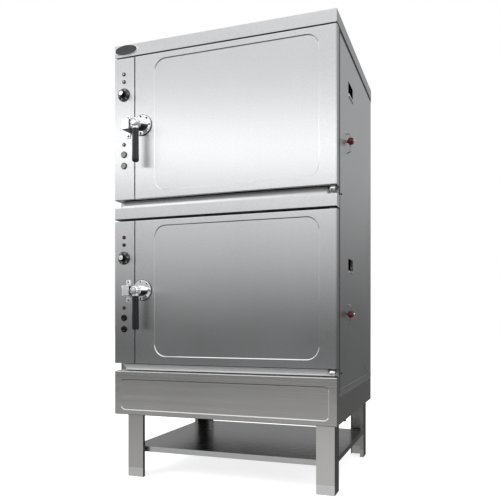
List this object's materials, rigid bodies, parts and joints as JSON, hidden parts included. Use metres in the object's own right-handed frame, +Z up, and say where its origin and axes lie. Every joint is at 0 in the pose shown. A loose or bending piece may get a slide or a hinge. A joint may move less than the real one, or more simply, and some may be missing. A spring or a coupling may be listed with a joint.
{
  "type": "steam cabinet",
  "caption": "Stacked steam cabinet on an open folded stand: hinged doors with turn-handle latches, a control strip beside each door, side water valves and a shelf below.",
  "frame": {"origin": "on the floor under the middle of the whole part", "axes": "+X to the part's right as seen from the front, +Y towards the back, +Z up"},
  "size_m": [0.8716, 0.8748, 1.62],
  "materials": {
    "satin_steel": "brushed outer sheet",
    "stand_steel": "brushed stand sheet",
    "inner_steel": "bright inner sheet",
    "bright_chrome": "polished",
    "black_plastic": "moulded",
    "grey_plastic": "moulded",
    "red_lens": "clear red lens",
    "red_handle": "coated",
    "seal_rubber": "soft silicone",
    "mineral_wool": "loose fibre mat",
    "brass_fitting": "turned",
    "light_metal": "satin"
  },
  "bodies": {
    "cabinet": {"stand_legs": "stand_steel", "stand_front_fascia": "stand_steel", "stand_aprons": "stand_steel", "stand_top_rails": "stand_steel", "stand_shelf": "stand_steel", "base_tray": "satin_steel", "corner_posts": "inner_steel", "side_panel_left": "satin_steel", "side_panel_right": "satin_steel", "back_panel": "satin_steel", "top_cover": "satin_steel", "mid_fascia": "satin_steel", "front_frame": "inner_steel", "drip_gutters": "inner_steel", "chamber_lower": "inner_steel", "chamber_upper": "inner_steel", "insulation": "mineral_wool", "rack_guides": "inner_steel", "false_floors": "inner_steel", "heating_elements": "inner_steel", "control_strip_lower": "satin_steel", "control_strip_upper": "satin_steel", "signal_lamps": "red_lens", "thermostats": "light_metal", "switch_blocks": "bright_chrome", "electrical_panel": "grey_plastic", "latch_keepers": "bright_chrome", "keeper_screws": "bright_chrome", "hinge_brackets": "inner_steel", "hinge_pins": "bright_chrome", "water_valves": "brass_fitting", "water_pipes": "brass_fitting", "water_inlet": "brass_fitting", "drain_pipes": "inner_steel", "drain_sleeve": "seal_rubber", "steam_vents": "inner_steel", "cable_gland": "black_plastic", "badge_plate": "light_metal"},
    "door_lower": {"door_skin_lower": "satin_steel", "door_liner_lower": "inner_steel", "door_core_lower": "mineral_wool", "door_gasket_lower": "seal_rubber", "latch_flange_lower": "bright_chrome"},
    "latch_lower": {"latch_lever_lower": "bright_chrome", "latch_grip_lower": "black_plastic"},
    "knob_lower": {"thermostat_knob_lower": "black_plastic"},
    "start_lower": {"start_button_lower": "black_plastic"},
    "stop_lower": {"stop_button_lower": "black_plastic"},
    "valve_lower": {"valve_handle_lower": "red_handle"},
    "door_upper": {"door_skin_upper": "satin_steel", "door_liner_upper": "inner_steel", "door_core_upper": "mineral_wool", "door_gasket_upper": "seal_rubber", "latch_flange_upper": "bright_chrome"},
    "latch_upper": {"latch_lever_upper": "bright_chrome", "latch_grip_upper": "black_plastic"},
    "knob_upper": {"thermostat_knob_upper": "black_plastic"},
    "start_upper": {"start_button_upper": "grey_plastic"},
    "stop_upper": {"stop_button_upper": "grey_plastic"},
    "valve_upper": {"valve_handle_upper": "red_handle"}
  },
  "joints": [
    {"name": "door_lower_swing", "type": "hinge", "parent": "cabinet", "child": "door_lower", "pos_m": [0.38825, -0.3641, 0.699], "axis": [0, 0, 1], "range_deg": [0, 120]},
    {"name": "latch_lower_turn", "type": "hinge", "parent": "door_lower", "child": "latch_lower", "pos_m": [-0.32275, -0.4091, 0.703], "axis": [0, -1, 0], "range_deg": [0, 90]},
    {"name": "knob_lower_turn", "type": "hinge", "parent": "cabinet", "child": "knob_lower", "pos_m": [-0.39575, -0.3871, 0.826], "axis": [0, 1, 0], "range_deg": [0, 270]},
    {"name": "start_lower_press", "type": "slide", "parent": "cabinet", "child": "start_lower", "axis": [0, 1, 0], "range_m": [0, 0.004], "stiffness_N_per_m": 300},
    {"name": "stop_lower_press", "type": "slide", "parent": "cabinet", "child": "stop_lower", "axis": [0, 1, 0], "range_m": [0, 0.004], "stiffness_N_per_m": 300},
    {"name": "valve_lower_turn", "type": "hinge", "parent": "cabinet", "child": "valve_lower", "pos_m": [0.41425, -0.2211, 0.617], "axis": [1, 0, 0], "range_deg": [0, 90]},
    {"name": "door_upper_swing", "type": "hinge", "parent": "cabinet", "child": "door_upper", "pos_m": [0.38825, -0.3641, 1.306], "axis": [0, 0, 1], "range_deg": [0, 120]},
    {"name": "latch_upper_turn", "type": "hinge", "parent": "door_upper", "child": "latch_upper", "pos_m": [-0.32275, -0.4091, 1.31], "axis": [0, -1, 0], "range_deg": [0, 90]},
    {"name": "knob_upper_turn", "type": "hinge", "parent": "cabinet", "child": "knob_upper", "pos_m": [-0.39575, -0.3871, 1.433], "axis": [0, 1, 0], "range_deg": [0, 270]},
    {"name": "start_upper_press", "type": "slide", "parent": "cabinet", "child": "start_upper", "axis": [0, 1, 0], "range_m": [0, 0.004], "stiffness_N_per_m": 300},
    {"name": "stop_upper_press", "type": "slide", "parent": "cabinet", "child": "stop_upper", "axis": [0, 1, 0], "range_m": [0, 0.004], "stiffness_N_per_m": 300},
    {"name": "valve_upper_turn", "type": "hinge", "parent": "cabinet", "child": "valve_upper", "pos_m": [0.41425, -0.2211, 1.224], "axis": [1, 0, 0], "range_deg": [0, 90]}
  ]
}
